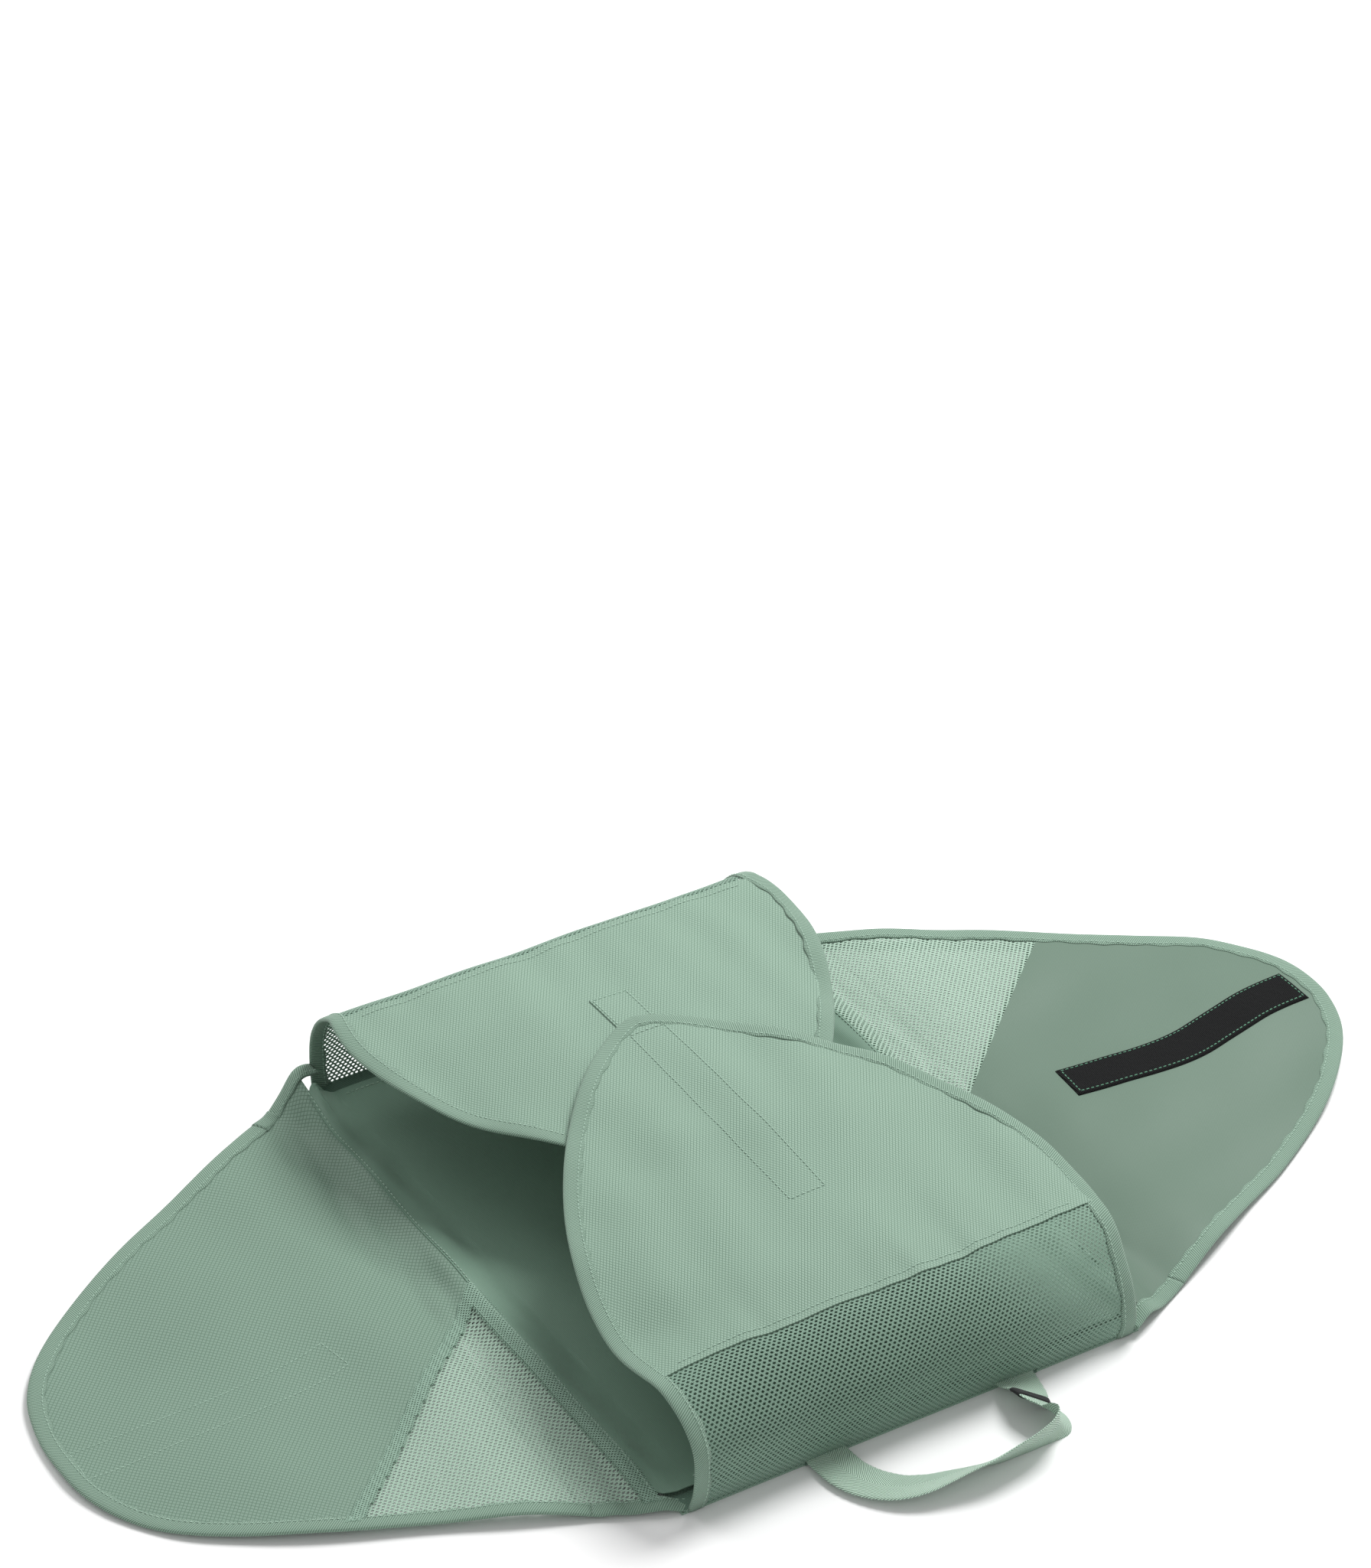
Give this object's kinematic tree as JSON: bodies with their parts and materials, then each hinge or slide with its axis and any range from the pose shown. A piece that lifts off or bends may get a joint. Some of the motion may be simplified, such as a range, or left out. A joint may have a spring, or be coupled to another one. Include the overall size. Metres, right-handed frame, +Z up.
{
  "type": "garment folder",
  "caption": "Flat soft garment folder, lying open: base, mesh end walls with tongue flaps, parabolic side wings that fold over the top, and a webbing handle.",
  "frame": {"origin": "middle of the base's underside", "axes": "+X to the right across both wings, +Y towards the back flap, +Z up"},
  "size_m": [0.887, 0.5116, 0.0884],
  "materials": {
    "shell_cloth": "sage green polyester with a small raised weave",
    "wing_cloth": "sage green coated side of the shell cloth",
    "lining": "smooth sage green lining",
    "wall_mesh": "open polyester mesh",
    "wing_mesh": "open polyester mesh, lighter",
    "binding_tape": "ribbed folded binding tape",
    "seam_tape": "flat seam tape",
    "webbing": "herringbone webbing, 25 mm",
    "hook_tape": "black hook tape",
    "loop_tape": "sage green loop tape",
    "black_tag": "black woven sleeve, plain",
    "board": "frosted flexible sheet"
  },
  "bodies": {
    "base": {"back_seam_tape": "seam_tape", "back_wall_binding": "binding_tape", "back_wall_mesh": "wall_mesh", "base_lining": "lining", "base_panel": "shell_cloth", "folding_board": "board", "front_seam_tape": "seam_tape", "front_wall_binding": "binding_tape", "front_wall_mesh": "wall_mesh", "handle_anchors": "webbing"},
    "front_flap": {"front_flap_binding": "binding_tape", "front_flap_hem": "seam_tape", "front_flap_panel": "shell_cloth", "front_flap_strip": "hook_tape"},
    "back_flap": {"back_flap_binding": "binding_tape", "back_flap_hem": "seam_tape", "back_flap_panel": "shell_cloth", "back_flap_strip": "loop_tape"},
    "left_wing_side": {"left_side_binding": "binding_tape", "left_side_mesh": "wing_mesh", "left_side_panel": "wing_cloth", "left_side_seam": "seam_tape"},
    "left_wing_top": {"left_strip": "loop_tape", "left_top_binding": "binding_tape", "left_top_mesh": "wing_mesh", "left_top_panel": "wing_cloth", "left_top_seam": "seam_tape"},
    "right_wing_side": {"right_side_binding": "binding_tape", "right_side_mesh": "wing_mesh", "right_side_panel": "wing_cloth", "right_side_seam": "seam_tape"},
    "right_wing_top": {"right_strip": "hook_tape", "right_top_binding": "binding_tape", "right_top_mesh": "wing_mesh", "right_top_panel": "wing_cloth", "right_top_seam": "seam_tape"},
    "handle": {"handle_webbing": "webbing", "handle_tag": "black_tag"}
  },
  "joints": [
    {"name": "front_flap_open", "type": "hinge", "parent": "base", "child": "front_flap", "pos_m": [0, -0.194, 0.0773], "axis": [1, 0, 0], "range_deg": [0, 175]},
    {"name": "back_flap_open", "type": "hinge", "parent": "base", "child": "back_flap", "pos_m": [0, 0.194, 0.0773], "axis": [-1, 0, 0], "range_deg": [0, 114]},
    {"name": "left_wing_lift", "type": "hinge", "parent": "base", "child": "left_wing_side", "pos_m": [-0.155, 0, 0.0047], "axis": [0, 1, 0], "range_deg": [0, 90]},
    {"name": "left_wing_fold", "type": "hinge", "parent": "left_wing_side", "child": "left_wing_top", "pos_m": [-0.243, 0, 0.0047], "axis": [0, 1, 0], "range_deg": [0, 90]},
    {"name": "right_wing_lift", "type": "hinge", "parent": "base", "child": "right_wing_side", "pos_m": [0.155, 0, 0.0047], "axis": [0, -1, 0], "range_deg": [0, 90]},
    {"name": "right_wing_fold", "type": "hinge", "parent": "right_wing_side", "child": "right_wing_top", "pos_m": [0.249, 0, 0.0047], "axis": [0, -1, 0], "range_deg": [0, 90]},
    {"name": "handle_swing", "type": "hinge", "parent": "base", "child": "handle", "pos_m": [0, -0.2266, 0.0027], "axis": [-1, 0, 0], "range_deg": [0, 75]}
  ],
  "couplings": [
    {"joint": "back_flap_open", "follows": "front_flap_open", "ratio": 0.65},
    {"joint": "left_wing_fold", "follows": "left_wing_lift", "ratio": 1},
    {"joint": "right_wing_fold", "follows": "right_wing_lift", "ratio": 1}
  ]
}
